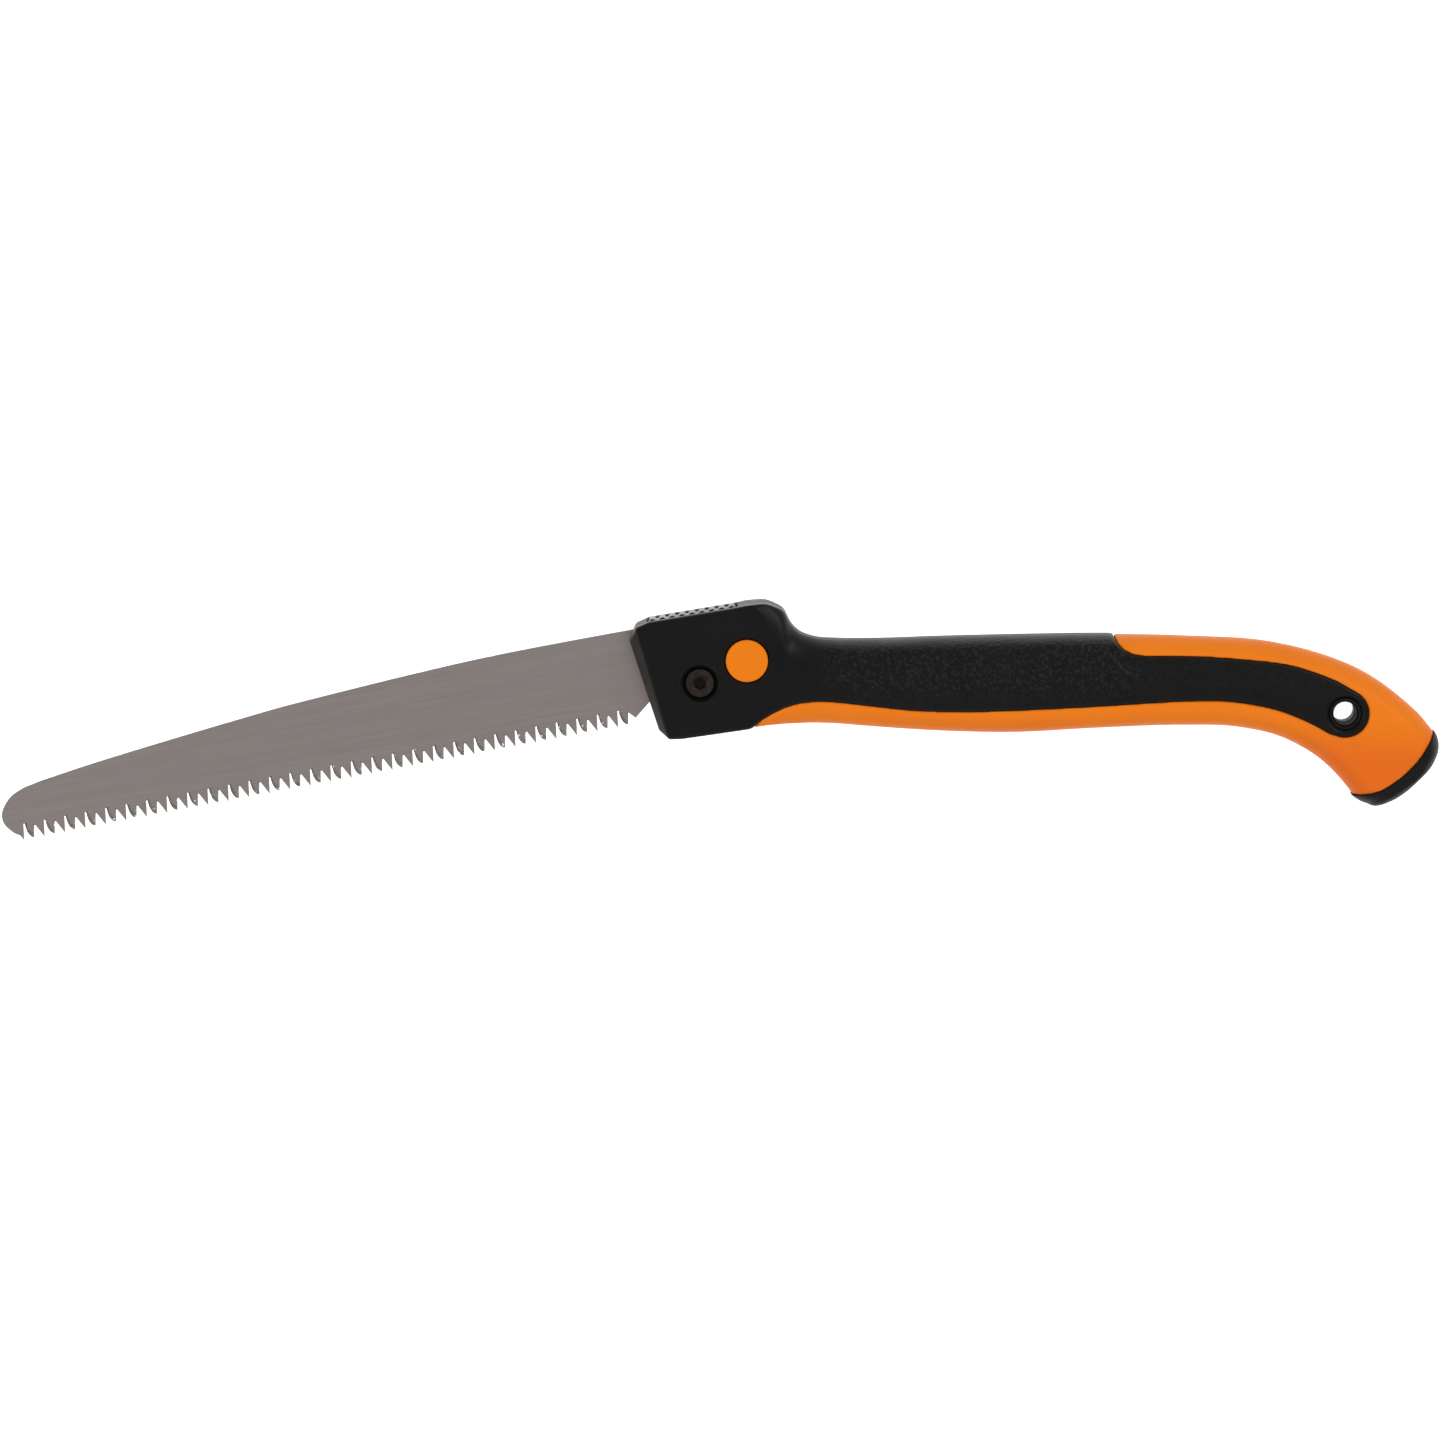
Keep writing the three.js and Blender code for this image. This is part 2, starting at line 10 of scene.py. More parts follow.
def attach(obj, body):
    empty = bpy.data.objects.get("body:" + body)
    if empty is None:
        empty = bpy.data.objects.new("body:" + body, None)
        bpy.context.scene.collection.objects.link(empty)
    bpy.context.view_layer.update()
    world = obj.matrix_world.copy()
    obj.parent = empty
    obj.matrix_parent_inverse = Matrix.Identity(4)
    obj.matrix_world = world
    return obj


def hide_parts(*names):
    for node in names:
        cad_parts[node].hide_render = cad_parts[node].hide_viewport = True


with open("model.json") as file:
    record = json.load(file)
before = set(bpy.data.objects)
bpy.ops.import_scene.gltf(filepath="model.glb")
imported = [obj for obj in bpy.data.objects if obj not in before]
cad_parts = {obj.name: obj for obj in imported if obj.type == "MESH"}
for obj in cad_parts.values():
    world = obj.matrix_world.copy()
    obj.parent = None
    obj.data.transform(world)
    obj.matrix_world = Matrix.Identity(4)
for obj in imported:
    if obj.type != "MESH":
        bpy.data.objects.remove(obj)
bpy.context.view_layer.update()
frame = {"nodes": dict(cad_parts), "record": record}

# Lengths are in millimetres around the pivot axis (+X to the end of the handle, +Y to the blade's
# spine, z = 0 at mid thickness) until to_metres() places them in the frame.
MM = 0.001
JOINTS = {joint["name"]: joint for joint in frame["record"]["behaviour"]["joints"]}
PIVOT = Vector(JOINTS["blade_fold"]["pos_m"])
BLADE_TRAVEL = math.radians(JOINTS["blade_fold"]["range_deg"][1])
BLADE_OPEN = math.radians(190.8)

GAP = 0.3           # between pieces that touch
SEAM = 0.15         # from the middle plane to each half of the handle
OUT = 40.0          # past the outside of the saw, for cutting tools
SKIN = 2.4          # thickness of the overmould
PROUD = 0.5         # step from the orange core up to the overmould
CLOSE = 0.05        # play left round the overmould and the cap, too fine to see
BORDER_ROUND = 0.9  # quarter round along the overmould's border
BORDER_STEPS = 4
CORE_VOXEL = 0.62
GRIP_VOXEL = 0.53
CAP_VOXEL = 0.4

SLOT_HALF = 1.8
SLOT_REACH = 286.5
SLOT_ROOF = 25.45
SLOT_BELOW_TEETH = 1.1
TANG_RADIUS = 16.8
TOOTH_PITCH = 4.176
TOOTH_COUNT = 60
FIRST_TIP = 277.9
TOOTH_LINE = -12.0
DEEP_GULLET = -6.0
SHALLOW_GULLET = -7.3
HEEL = (28.1, -10)
BLADE_HALF = 0.7
BLADE_BORE = 4.5
GRIND_EDGE = 0.1
BLADE_CHAMFER = 0.12

BOLT_POCKET = 7.3
BOLT_SEAT = 9.5
BOLT_BORE = 3.3
HEX_RADIUS = 2.75
HEX_PHASE = math.pi / 6
NUT_SEAT = 7.5
SLEEVE_REACH = 6.8
BUTTON_RADIUS = 8.4
COLLAR_POCKET = 6.8
LANYARD_BORE = 5.9
SCREW_BORE = 1.8
SCREW_HEAD_BORE = 3.3
THUMB_HALF = 7.5
LOCK = (18.7, 9.0)
LANYARD = (257.2, -12.2)
SCREWS = [(5, 23.6), (62, 10.5), (130, 7), (205, 1.5)]

# Cross sections: top x, y, bottom x, y, half thickness, top and bottom edge widths, top and bottom
# wall half heights, edge power (2 is a flat bevel, 1 is round).
FRONT_SECTIONS = [
    (-28.1, 16.9, -16.3, -19.2, 10.5, 1, 1, 9.9, 9.9, 2),
    (-25.6, 22.1, -12.2, -22.6, 13.98, 1, 1, 13, 13, 2),
]
SMOOTH_SECTIONS = [
    (-20.5, 24.4, -7, -22.4, 13.98, 1, 1, 13, 13, 2),
    (12, 29.8, 11, -19.8, 13.98, 1, 1, 13, 13, 2),
    (22, 31.45, 20, -18.5, 13.98, 1, 1.2, 13, 12.8, 2),
    (26.2, 31.55, 24, -18, 13.98, 6.5, 2.6, 12, 12, 1.6),
    (30, 30.3, 27, -17.7, 13.98, 12.5, 4.6, 10.4, 10.5, 1.3),
    (33.2, 28.5, 29.5, -17.6, 13.98, 15, 6.2, 8.5, 9, 1.2),
    (36.2, 23.2, 33, -17.4, 13.98, 15.5, 8, 6.5, 7.5, 1.2),
    (39.6, 19.8, 38, -17.3, 13.9, 14.5, 9.5, 5, 6, 1.1),
    (45, 17.7, 44, -17.2, 13.8, 12, 9.5, 3.8, 4.5, 1.1),
    (54, 16.9, 54, -17.5, 13.6, 9.5, 9, 2.5, 3.5, 1),
    (66.4, 16.8, 66, -18.5, 13.5, 8.5, 8.5, 2, 3, 1),
    (96, 17.7, 94, -20.4, 13.8, 8.5, 8.5, 2, 2.5, 1),
    (125, 18.4, 124, -21.1, 13.95, 8.5, 8.5, 2, 2.5, 1),
    (160, 18.9, 158, -19.4, 13.95, 8.5, 8.5, 2, 2.5, 1),
    (195, 18.3, 192, -18.2, 13.8, 8.5, 8.5, 2, 2.5, 1),
    (228, 16, 216, -19.1, 13.7, 8.5, 8.5, 2, 2.5, 1),
    (251.9, 9.9, 233, -23.3, 13.6, 8.5, 8.5, 2, 2.5, 1),
    (268.3, 2.4, 246, -30.5, 13.6, 8.5, 8.5, 2, 2.5, 1),
    (281, -6.9, 254, -37.7, 13.6, 8.5, 8.5, 2, 2.5, 1),
    (290.4, -16, 259, -43.6, 13.6, 8.5, 8.5, 2, 2.5, 1),
    (295.05, -23.4, 261.5, -46.6, 13.4, 8.5, 8.5, 3, 3, 1),
    (294.3, -30.4, 266, -48.8, 12.8, 8, 8, 4, 4, 1),
    (289.2, -37.8, 272.3, -49.6, 10.8, 7, 7, 5, 5, 1),
    (284.3, -42.6, 277.0, -47.8, 8, 4, 4, 5, 5, 1),
]
STEPS_PER_SECTION = 8
EDGE_STEPS = 12
THINNEST_WALL = 1.0


# ---------------------------------------------------------------- mesh helpers
def to_metres(points):
    return [PIVOT + Vector(point) * MM for point in points]


def mesh_object(name, points, faces):
    mesh = bpy.data.meshes.new(name)
    mesh.from_pydata([tuple(v) for v in to_metres(points)], [], faces)
    mesh.update()
    obj = bpy.data.objects.new(name, mesh)
    bpy.context.scene.collection.objects.link(obj)
    return obj


def prism(name, outline, bottom, top):
    """An outline given counter-clockwise, extruded along Z."""
    count = len(outline)
    points = [(x, y, bottom) for x, y in outline] + [(x, y, top) for x, y in outline]
    faces = [tuple(reversed(range(count))), tuple(range(count, 2 * count))]
    for i in range(count):
        j = (i + 1) % count
        faces.append((i, j, count + j, count + i))
    obj = mesh_object(name, points, faces)
    fix_normals(obj)
    return obj


def turned(name, centre, profile, sides=96, phase=0.0):
    """A closed solid turned about Z from a profile of (radius, z) points."""
    points = []
    rings = []
    for radius, z in profile:
        if radius < 1e-6:
            rings.append([len(points)])
            points.append((centre[0], centre[1], z))
            continue
        rings.append(list(range(len(points), len(points) + sides)))
        for i in range(sides):
            angle = phase + 2 * math.pi * i / sides
            points.append((centre[0] + radius * math.cos(angle),
                           centre[1] + radius * math.sin(angle), z))
    closed = profile[0][0] > 1e-6
    faces = []
    pairs = list(zip(rings, rings[1:]))
    if closed:
        pairs.append((rings[-1], rings[0]))
    for low, high in pairs:
        for i in range(sides):
            j = (i + 1) % sides
            corners = [low[i % len(low)], low[j % len(low)], high[j % len(high)], high[i % len(high)]]
            faces.append(tuple(dict.fromkeys(corners)))
    obj = mesh_object(name, points, faces)
    fix_normals(obj)
    return obj


def rod(centre, radius, bottom, top, sides=64, phase=0.0):
    return turned("tool", centre, [(0, bottom), (radius, bottom), (radius, top), (0, top)], sides, phase)


def fix_normals(obj):
    work = bmesh.new()
    work.from_mesh(obj.data)
    bmesh.ops.recalc_face_normals(work, faces=work.faces)
    if work.calc_volume(signed=True) < 0:
        bmesh.ops.reverse_faces(work, faces=work.faces)
    work.to_mesh(obj.data)
    work.free()


def apply_modifiers(obj):
    bpy.context.view_layer.update()
    graph = bpy.context.evaluated_depsgraph_get()
    mesh = bpy.data.meshes.new_from_object(obj.evaluated_get(graph))
    obj.modifiers.clear()
    old = obj.data
    obj.data = mesh
    bpy.data.meshes.remove(old)


def combine(obj, tool, operation="DIFFERENCE", keep=False):
    modifier = obj.modifiers.new("cut", "BOOLEAN")
    modifier.operation = operation
    modifier.solver = "MANIFOLD"
    modifier.object = tool
    apply_modifiers(obj)
    if not keep:
        bpy.data.objects.remove(tool)
    return obj


def copy_of(obj, name):
    twin = obj.copy()
    twin.data = obj.data.copy()
    twin.name = name
    bpy.context.scene.collection.objects.link(twin)
    return twin


def soften(obj, voxel, rounds):
    """Turns a cut solid into an even fine surface with small rounded edges."""
    remesh = obj.modifiers.new("remesh", "REMESH")
    remesh.mode = "VOXEL"
    remesh.voxel_size = voxel * MM
    remesh.adaptivity = 0.0
    smooth = obj.modifiers.new("smooth", "SMOOTH")
    smooth.factor = 0.5
    smooth.iterations = rounds
    apply_modifiers(obj)
    obj.data.polygons.foreach_set("use_smooth", [True] * len(obj.data.polygons))


def bevelled(obj, width, segments=2, limit=35):
    bevel = obj.modifiers.new("bevel", "BEVEL")
    bevel.width = width * MM
    bevel.segments = segments
    bevel.limit_method = "ANGLE"
    bevel.angle_limit = math.radians(limit)
    apply_modifiers(obj)
    smooth_by_angle(obj, 30)


def join_into(obj, other):
    work = bmesh.new()
    work.from_mesh(obj.data)
    work.from_mesh(other.data)
    work.to_mesh(obj.data)
    work.free()
    bpy.data.objects.remove(other)


def smooth_by_angle(obj, degrees):
    obj.data.polygons.foreach_set("use_smooth", [True] * len(obj.data.polygons))
    obj.data.set_sharp_from_angle(angle=math.radians(degrees))


def arc(centre, radius, start, end, steps):
    return [(centre[0] + radius * math.cos(start + (end - start) * i / steps),
             centre[1] + radius * math.sin(start + (end - start) * i / steps)) for i in range(steps + 1)]


def spline(points, steps):
    """A uniform Catmull-Rom curve through the points, sampled evenly in its parameter."""
    points = np.array(points, float)
    samples = []
    for i in range(steps + 1):
        place = (len(points) - 1) * i / steps
        k = min(int(place), len(points) - 2)
        t = place - k
        before, a, b, after = (points[max(0, min(len(points) - 1, n))] for n in (k - 1, k, k + 1, k + 2))
        samples.append(tuple(hermite(a, b, (b - before) / 2, (after - a) / 2, t)))
    return samples


def hermite(start, end, slope_in, slope_out, t):
    """The cubic between two values with the given slopes, at t from 0 to 1."""
    return (start * (2 * t**3 - 3 * t**2 + 1) + slope_in * (t**3 - 2 * t**2 + t)
            + end * (3 * t**2 - 2 * t**3) + slope_out * (t**3 - t**2))


def beside(point, before, after, distance):
    along = Vector((after[0] - before[0], after[1] - before[1])).normalized()
    return (point[0] + along.y * distance, point[1] - along.x * distance)


def grown(outline, distance):
    """A closed counter-clockwise outline moved outwards."""
    count = len(outline)
    return [beside(outline[i], outline[i - 1], outline[(i + 1) % count], distance) for i in range(count)]


def grown_open(line, distance):
    """An open line moved sideways, to its right for a positive distance."""
    last = len(line) - 1
    return [beside(line[i], line[max(i - 1, 0)], line[min(i + 1, last)], distance)
            for i in range(last + 1)]


# ---------------------------------------------------------------- handle volume
def smooth_rows(rows, steps):
    """Rows interpolated with slopes that allow for their uneven spacing."""
    rows = np.array(rows, float)
    middle = (rows[:, 0:2] + rows[:, 2:4]) / 2
    gaps = np.linalg.norm(np.diff(middle, axis=0), axis=1)
    steep = np.diff(rows, axis=0) / gaps[:, None]
    slopes = np.empty_like(rows)
    slopes[0] = steep[0]
    slopes[-1] = steep[-1]
    for i in range(1, len(rows) - 1):
        slopes[i] = (steep[i - 1] * gaps[i] + steep[i] * gaps[i - 1]) / (gaps[i - 1] + gaps[i])
    result = []
    for i, gap in enumerate(gaps):
        for step in range(steps):
            result.append(hermite(rows[i], rows[i + 1], slopes[i] * gap, slopes[i + 1] * gap,
                                  step / steps))
    result.append(rows[-1])
    return result


def edge_profile(edge, wall, half, power):
    """From the side wall's end round to the flat face, as (distance across, height) points."""
    points = []
    for step in range(EDGE_STEPS + 1):
        angle = math.pi / 2 * step / EDGE_STEPS
        rise = max(math.sin(angle), 0) ** power
        points.append((edge * (1 - max(math.cos(angle), 0) ** power), wall + (half - wall) * rise))
    return points


def section_loop(row, inset):
    """One closed cross section: the front side from top to bottom, and the rear side back up."""
    top_x, top_y, bottom_x, bottom_y, half, top_edge, bottom_edge, top_wall, bottom_wall, power = row
    down = Vector((bottom_x - top_x, bottom_y - top_y))
    length = down.length - 2 * inset
    down.normalize()
    top = Vector((top_x, top_y)) + down * inset
    face = half - inset
    upper = edge_profile(top_edge, max(top_wall - inset, THINNEST_WALL), face, power)
    lower = edge_profile(bottom_edge, max(bottom_wall - inset, THINNEST_WALL), face, power)
    profile = upper + [(length - across, height) for across, height in reversed(lower)]
    front = [(*(top + down * across), height) for across, height in profile]
    rear = [(x, y, -height) for x, y, height in reversed(front)]
    return front + rear


def handle_volume(name, inset):
    """The handle's outer form as a loft through its sections, moved inwards by the inset."""
    rows = [np.array(row, float) for row in FRONT_SECTIONS]
    rows += smooth_rows(SMOOTH_SECTIONS, STEPS_PER_SECTION)
    loops = [section_loop(row, inset) for row in rows]
    loops[0] = [(x + inset, y, z) for x, y, z in loops[0]]
    size = len(loops[0])
    points = [point for loop in loops for point in loop]
    faces = []
    for i in range(len(loops) - 1):
        for j in range(size):
            a = i * size + j
            b = i * size + (j + 1) % size
            faces.append((a, b, b + size, a + size))
    faces.append(tuple(reversed(range(size))))
    faces.append(tuple(range(len(points) - size, len(points))))
    obj = mesh_object(name, points, faces)
    fix_normals(obj)
    return obj


def grip_outline():
    lower = spline([(19, -21), (23.6, -15.6), (30, -11.6), (36.5, -8.9), (43.3, -7.6),
                    (53.8, -7.6), (82, -10.7), (99.6, -11.4), (119.5, -11.2), (155.4, -9.5), (194.2, -7.2),
                    (212.2, -7.5), (229.1, -10.5), (242, -15.4), (251.5, -20.5)], 110)
    lobe = arc(LANYARD, 9.5, math.radians(-115), math.radians(62), 40)
    upper = spline([(254, 0.6), (243.1, 4.8), (230.4, 7.9), (205.7, 10.2), (189.3, 10.8),
                    (176.4, 10.9), (170, 12.6), (166.2, 16), (163.9, 22)], 70)
    return [(-45, -30), (17.5, -30), *lower, *lobe, *upper, (163.9, 45), (-45, 45)]


def cap_outline():
    joint = spline([(293.6, -19.7), (290.5, -25.1), (285.9, -31.8), (279.8, -37.9), (272.1, -43),
                    (264.5, -45), (254, -45.3)], 50)
    return [(304, -16.5), *joint, (254, -60), (310, -60)]


def blade_point(u, v, fold=0.0):
    angle = BLADE_OPEN + fold
    return (u * math.cos(angle) + v * math.sin(angle), u * math.sin(angle) - v * math.cos(angle))


def slot_tool():
    """The blade's slot: open below, with a round end at its nose and a round pocket for the tang."""
    teeth = TOOTH_LINE - SLOT_BELOW_TEETH
    corner = blade_point(SLOT_REACH, teeth, BLADE_TRAVEL)
    start = math.atan2(corner[1], corner[0])
    end = arc((0, 0), SLOT_REACH, start, start - 0.15, 16)
    outline = [blade_point(70, SLOT_ROOF), blade_point(18.6, SLOT_ROOF), (0, TANG_RADIUS + 0.9),
               blade_point(0, teeth, BLADE_TRAVEL), *end, (250, -90), (-90, -90)]
    tool = prism("slot", list(reversed(outline)), -SLOT_HALF, SLOT_HALF)
    combine(tool, rod((0, 0), TANG_RADIUS + 0.5, -SLOT_HALF, SLOT_HALF, 96), "UNION")
    return combine(tool, rod(LOCK, COLLAR_POCKET, -SLOT_HALF, SLOT_HALF), "UNION")


def holes(side):
    """Round holes of one half, each as centre, radius, bottom and top."""
    if side > 0:
        tools = [((0, 0), BOLT_POCKET, BOLT_SEAT, OUT), ((0, 0), BOLT_BORE, 0, OUT),
                 ((0, 0), BLADE_BORE, 0, SLEEVE_REACH),
                 (LOCK, BUTTON_RADIUS + GAP, 4.6, OUT), (LOCK, 3.8, 0, OUT)]
    else:
        tools = [((0, 0), BOLT_POCKET, -OUT, -NUT_SEAT), ((0, 0), BOLT_BORE, -OUT, 0),
                 ((0, 0), BLADE_BORE, -SLEEVE_REACH, 0),
                 (LOCK, COLLAR_POCKET, -9.6, 0), (LOCK, 3.3, -10.8, 0)]
    tools.append((LANYARD, LANYARD_BORE, -OUT, OUT))
    for place in SCREWS:
        if side > 0:
            tools.append((place, SCREW_BORE, -OUT, 7.3))
        else:
            tools.append((place, SCREW_BORE, -OUT, 0))
            tools.append((place, SCREW_HEAD_BORE, -OUT, -9.0))
    return tools


def half_space(side):
    far = 400
    low, high = (SEAM, OUT) if side > 0 else (-OUT, -SEAM)
    return prism("half", [(-far, -far), (far, -far), (far, far), (-far, far)], low, high)


def thumb_rest_outline(extra):
    """The ribbed strip's outline, or its plain recess when extra room is asked for."""
    slope = math.radians(9.44)
    length = 36.0
    depth = -1.3

    def place(along, up):
        return (-21 + along * math.cos(slope) - up * math.sin(slope),
                24.4 + along * math.sin(slope) + up * math.cos(slope))

    if extra > 0:
        corners = [(-extra, depth - extra), (length + extra, depth - extra),
                   (length + extra, 6), (-extra, 6)]
        return [place(*corner) for corner in corners]
    ribs = 9
    pitch = length / ribs
    outline = [(0, depth), (length, depth)]
    for rib in reversed(range(ribs)):
        base = rib * pitch
        outline += [(base + pitch - 0.5, -0.5), (base + pitch - 1.3, 0.35),
                    (base + 1.3, 0.35), (base + 0.5, -0.5)]
    return [place(*corner) for corner in outline]


def grip_body():
    """The overmould as one solid, with a quarter-round border where it meets the core."""
    body = None
    for step in range(BORDER_STEPS + 1):
        angle = math.pi / 2 * step / BORDER_STEPS
        layer = handle_volume("grip_layer", BORDER_ROUND * (1 - math.cos(angle)))
        shrink = BORDER_ROUND * (1 - math.sin(angle))
        combine(layer, prism("grip_area", grown(grip_outline(), -shrink), -OUT, OUT), "INTERSECT")
        if body is None:
            body = layer
        else:
            combine(body, layer, "UNION")
    return body


def contour_groove():
    """A short shallow curved groove in the front grip, where the overmould narrows."""
    line = spline([(162.9, 14.2), (165.4, 10.8), (168, 7.4), (171.2, 4.9), (176, 3.7)], 50)
    left = grown_open(line, -0.6)
    right = grown_open(line, 0.6)
    tool = prism("groove", right + list(reversed(left)), 0, OUT)
    return combine(tool, handle_volume("groove_floor", 0.9))


def pocket_ring():
    """A fine raised lip round the bolt's pocket, running down to the bolt's head."""
    profile = [(6.25, 10.5), (7.6, 10.5), (8.6, 13.6), (8.4, 14.05), (8.1, 14.2), (7.8, 14.22),
               (7.5, 14.1), (7.2, 13.6), (6.9, 12.9), (6.25, 12.3)]
    ring = turned("ring", (0, 0), profile)
    smooth_by_angle(ring, 60)
    return ring


def pocket_liner():
    """Black floor and wall of the bolt's pocket."""
    low = BOLT_SEAT - 0.3
    high = 12.5
    radius = BOLT_POCKET + 0.7
    profile = [(BOLT_BORE, low), (radius, low), (radius, high),
               (BOLT_POCKET, high), (BOLT_POCKET, BOLT_SEAT), (BOLT_BORE, BOLT_SEAT)]
    return turned("liner", (0, 0), profile)


def handle_pieces():
    """Both cores and grips, cut from shared volumes half by half, and the end cap."""
    outer = handle_volume("outer", 0)
    core = handle_volume("core", PROUD)
    core_space = handle_volume("core_space", SKIN)
    skin_space = handle_volume("skin_space", SKIN + GAP)
    slot = slot_tool()
    grip = grip_body()
    pocket = prism("pocket", grown(grip_outline(), CLOSE), -OUT, OUT)
    combine(pocket, skin_space)
    cap_pocket = prism("cap_pocket", grown(cap_outline(), CLOSE), -OUT, OUT)
    pieces = {}
    for side, word in ((1, "front"), (-1, "rear")):
        half = half_space(side)
        body = copy_of(core, word + "_core_body")
        combine(body, half, "INTERSECT", keep=True)
        for tool in (pocket, cap_pocket, slot):
            combine(body, tool, keep=True)
        skin = copy_of(grip, word + "_grip_skin")
        combine(skin, half, "INTERSECT")
        for tool in (core_space, slot):
            combine(skin, tool, keep=True)
        combine(skin, prism("thumb", thumb_rest_outline(GAP), -THUMB_HALF - GAP, THUMB_HALF + GAP))
        if side > 0:
            combine(skin, contour_groove())
            combine(body, rod((0, 0), BOLT_POCKET + 0.9, 9.1, OUT))
            combine(skin, rod((0, 0), BOLT_POCKET + 0.1, 5, OUT))
            combine(skin, pocket_liner(), "UNION")
        dish = turned("dish", LANYARD, [(0, side * 11.5), (5.6, side * 11.5), (6.3, side * 12.4),
                                        (7.6, side * 13.4), (8.2, side * 16), (0, side * 16)])
        combine(skin, dish)
        for centre, radius, low, high in holes(side):
            combine(body, rod(centre, radius, low, high))
            combine(skin, rod(centre, radius, low, high))
        soften(body, CORE_VOXEL, 3)
        soften(skin, GRIP_VOXEL, 3)
        if side > 0:
            join_into(skin, pocket_ring())
        pieces[word + "_core"] = body
        pieces[word + "_grip"] = skin
    cap = copy_of(outer, "end_cap_moulding")
    combine(cap, prism("cap_area", cap_outline(), -OUT, OUT), "INTERSECT")
    combine(cap, slot, keep=True)
    soften(cap, CAP_VOXEL, 4)
    pieces["end_cap"] = cap
    for tool in (outer, core, core_space, slot, grip, pocket, cap_pocket):
        bpy.data.objects.remove(tool)
    return pieces


# ---------------------------------------------------------------- blade
def spine_and_nose():
    spine = spline([(20.3, 25.1), (84.9, 25), (152.7, 21.7), (186.6, 18.9), (238.9, 13.4),
                    (266.3, 9.8)], 60)
    nose = spline([(274.1, 8.3), (279.6, 5.9), (283.45, 2), (284.94, -1.8), (284.15, -5.4),
                   (281.5, -8.8)], 36)
    return spine + nose


def tang_outline():
    """The tang's round with the relieved arc along which the lock collar runs."""
    distance = math.hypot(*LOCK)
    lock_angle = math.atan2(LOCK[1], LOCK[0])
    open_angle = BLADE_OPEN - lock_angle
    folded_angle = open_angle + BLADE_TRAVEL
    clearance = COLLAR_POCKET
    spread = math.acos((distance**2 + TANG_RADIUS**2 - clearance**2) / (2 * distance * TANG_RADIUS))
    turn = math.acos((distance**2 + clearance**2 - TANG_RADIUS**2) / (2 * distance * clearance))

    def notch(angle, low, high):
        middle = (distance * math.cos(angle), distance * math.sin(angle))
        return arc(middle, clearance, angle + math.pi + low, angle + math.pi + high, 10)

    return [*arc((0, 0), TANG_RADIUS, -0.06, folded_angle + spread - 2 * math.pi, 4),
            *notch(folded_angle, -turn, 0),
            *arc((0, 0), distance - clearance, folded_angle, open_angle, 40)[1:-1],
            *notch(open_angle, 0, turn),
            *arc((0, 0), TANG_RADIUS, open_angle - spread, math.pi / 2 + 0.1, 16)[1:]]


# Points of a tooth's flank from its tip: the true outline, the chamfered one and where the
# grinding ends.
LEAF_TOOTH = [
    (2.68, 4.4, 2.58, 4.4, 1.75, 4.9),
    (2.45, 2.8, 2.35, 2.85, 1.4, 3.8),
    (1.9, 1.4, 1.82, 1.5, 0.95, 3.1),
    (1.2, 0.45, 1.15, 0.57, 0.5, 2.6),
    (0.5, 0.08, 0.48, 0.25, 0.1, 2.3),
    (0, 0.02, 0.05, 0.3, -0.1, 2.2),
]
POINTED_TOOTH = [
    (1.2, 1.6, 1.12, 1.7, 0.6, 3.4),
    (0.1, -0.46, 0.12, -0.1, 0.05, 2.8),
    (0, -0.5, 0.05, -0.07, -0.05, 2.7),
]
# The chamfered and ground points at the gullet's bottom, for teeth ground on the front or the rear.
GULLET_INSETS = {True: (2.68, 6.12, 1.95, 6.4), False: (2.7, 4.85, 2.0, 5.6)}


def blade_piece():
    """Four outlines through the thickness; each tooth is ground on one side, by turns."""
    fine = BLADE_CHAMFER
    true = list(spine_and_nose())
    narrow = grown_open(true, fine)
    ground = [None] * len(true)
    for tooth in range(TOOTH_COUNT):
        tip = FIRST_TIP - tooth * TOOTH_PITCH
        front = tooth % 2 == 1
        left, right = (DEEP_GULLET, SHALLOW_GULLET) if front else (SHALLOW_GULLET, DEEP_GULLET)
        flank = LEAF_TOOTH if front else POINTED_TOOTH
        if tooth > 0:
            flank = [(TOOTH_PITCH - 1.4, left - TOOTH_LINE, *GULLET_INSETS[front])] + flank
        rise = right - TOOTH_LINE
        flank = flank + [(-0.9, rise, -0.9, rise + fine, -0.8, rise + 0.5)]
        for along, up, near_along, near_up, far_along, far_up in flank:
            true.append((tip + along, TOOTH_LINE + up))
            narrow.append((tip + near_along, TOOTH_LINE + near_up))
            ground.append((front, (tip + far_along, TOOTH_LINE + far_up)))
    true += [HEEL] + tang_outline()
    narrow += [(HEEL[0], HEEL[1] + fine)] + tang_outline()
    ground += [None] * (len(true) - len(ground))
    layers = []
    for level in range(4):
        layer = []
        for point, small, mark in zip(true, narrow, ground):
            z = (BLADE_HALF, BLADE_HALF - fine, fine - BLADE_HALF, -BLADE_HALF)[level]
            place = small if level in (0, 3) else point
            if mark is not None:
                front, inner = mark
                if front and level == 0:
                    place = inner
                if front and level == 1:
                    z = GRIND_EDGE
                if not front and level == 3:
                    place = inner
                if not front and level == 2:
                    z = -GRIND_EDGE
            layer.append((*blade_point(*place), z))
        layers.append(layer)
    count = len(true)
    points = [point for layer in layers for point in layer]
    faces = [tuple(range(count)), tuple(reversed(range(3 * count, 4 * count)))]
    for level in range(3):
        for i in range(count):
            j = (i + 1) % count
            a, b = level * count + i, level * count + j
            faces.append((a, a + count, b + count, b))
    obj = mesh_object("saw_blade", points, faces)
    work = bmesh.new()
    work.from_mesh(obj.data)
    bmesh.ops.triangulate(work, faces=[face for face in work.faces if len(face.verts) > 4])
    work.to_mesh(obj.data)
    work.free()
    fix_normals(obj)
    combine(obj, rod((0, 0), BLADE_BORE, -OUT, OUT))
    smooth_by_angle(obj, 12)
    return obj


